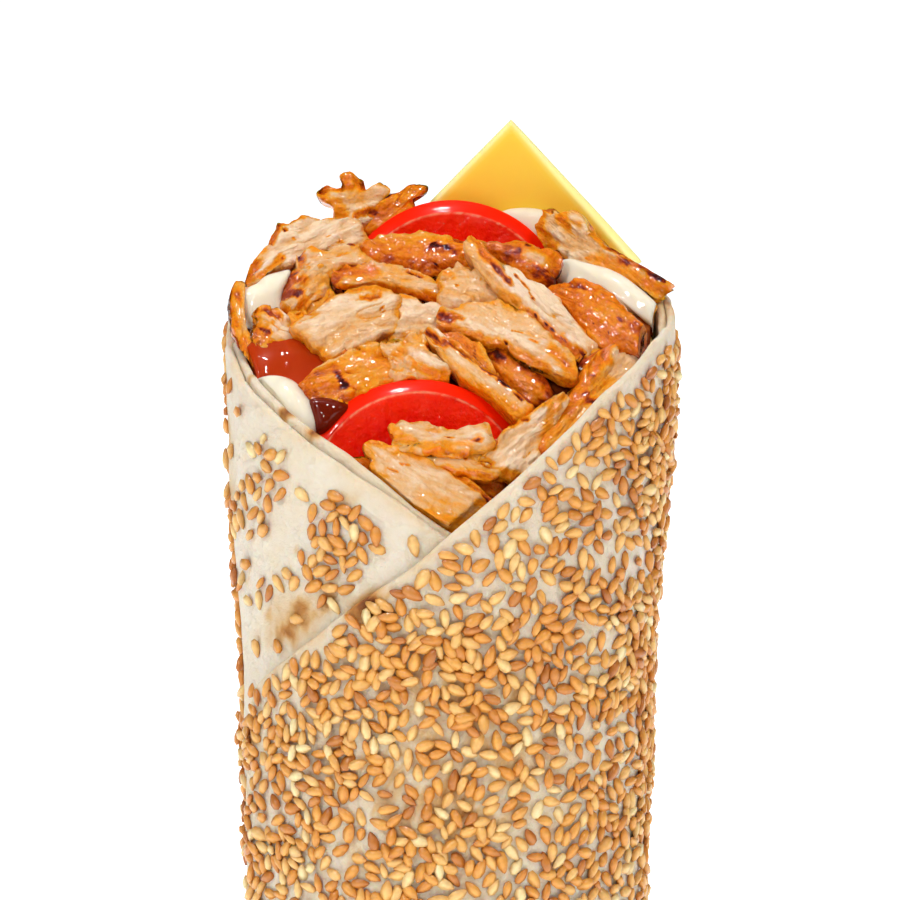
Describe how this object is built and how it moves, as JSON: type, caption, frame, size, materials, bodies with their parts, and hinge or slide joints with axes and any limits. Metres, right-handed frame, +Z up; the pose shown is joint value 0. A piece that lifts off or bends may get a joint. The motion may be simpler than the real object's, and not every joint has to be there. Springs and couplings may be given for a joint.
{
  "type": "rolled doner kebab sandwich",
  "caption": "Rolled sesame flatbread standing on its tucked end, open at the top on sliced chicken, tomato, cheese, mayonnaise and red sauce behind two crossed flaps.",
  "frame": {"origin": "centre of the flat underside of the tucked end, on the surface the sandwich stands on", "axes": "+Z up along the roll; -Y is the front, where the two flaps cross"},
  "size_m": [0.0727, 0.0718, 0.2035],
  "materials": {
    "sesame_flatbread": "floury baked flatbread with toasted seeds",
    "inner_flatbread": "floury baked flatbread",
    "chicken": "moist roasted meat",
    "tomato": "wet cut tomato",
    "cheese": "smooth soft cheese",
    "mayonnaise": "glossy thick sauce",
    "red_sauce": "glossy thin sauce"
  },
  "bodies": {
    "root": {"sesame_flatbread": "sesame_flatbread", "inner_flatbread": "inner_flatbread", "chicken": "chicken", "tomato_slice_rear": "tomato", "tomato_slice_front": "tomato", "cheese_slice": "cheese", "mayonnaise_rear": "mayonnaise", "mayonnaise_right": "mayonnaise", "mayonnaise_left": "mayonnaise", "mayonnaise_front": "mayonnaise", "red_sauce_pool": "red_sauce", "red_sauce_drip": "red_sauce"}
  },
  "joints": []
}
